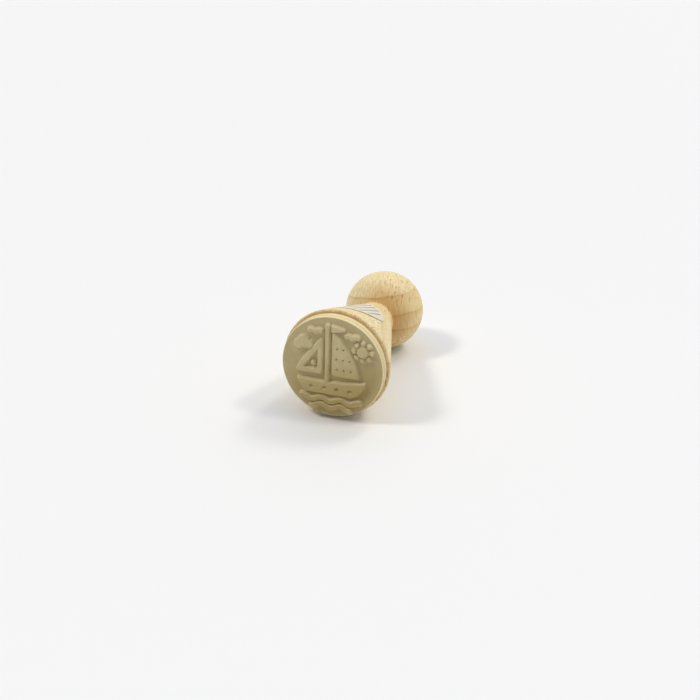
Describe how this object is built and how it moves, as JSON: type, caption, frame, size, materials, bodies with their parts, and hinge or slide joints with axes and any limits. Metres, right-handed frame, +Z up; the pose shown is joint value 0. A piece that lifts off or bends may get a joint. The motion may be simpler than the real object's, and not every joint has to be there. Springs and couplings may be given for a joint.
{
  "type": "wooden hand stamp",
  "caption": "Small hand stamp with a turned hardwood handle, a cone with a ball knob, and a round rubber die with raised relief on a foam cushion.",
  "frame": {"origin": "centre of the bounding box at the level of the table that the stamp lies on", "axes": "+Z up; +Y runs from the printing face to the ball knob; +X to the right when looking at the printing face. The stamp lies on its rim and its ball, so its turned axis drops 3.63 degrees towards the ball."},
  "size_m": [0.0322, 0.0672, 0.0321],
  "materials": {
    "beech": "bare sanded beech, thin matt wax",
    "die_rubber": "matt moulded olive-beige rubber",
    "cushion_foam": "cream closed-cell foam, cut edge",
    "adhesive_film": "thin double-sided adhesive film",
    "label_paper": "matt white label paper with pale grey-blue stripes"
  },
  "bodies": {
    "root": {"handle": "beech", "cushion_film": "adhesive_film", "cushion": "cushion_foam", "die_film": "adhesive_film", "rubber_die": "die_rubber", "paper_label": "label_paper"}
  },
  "joints": []
}
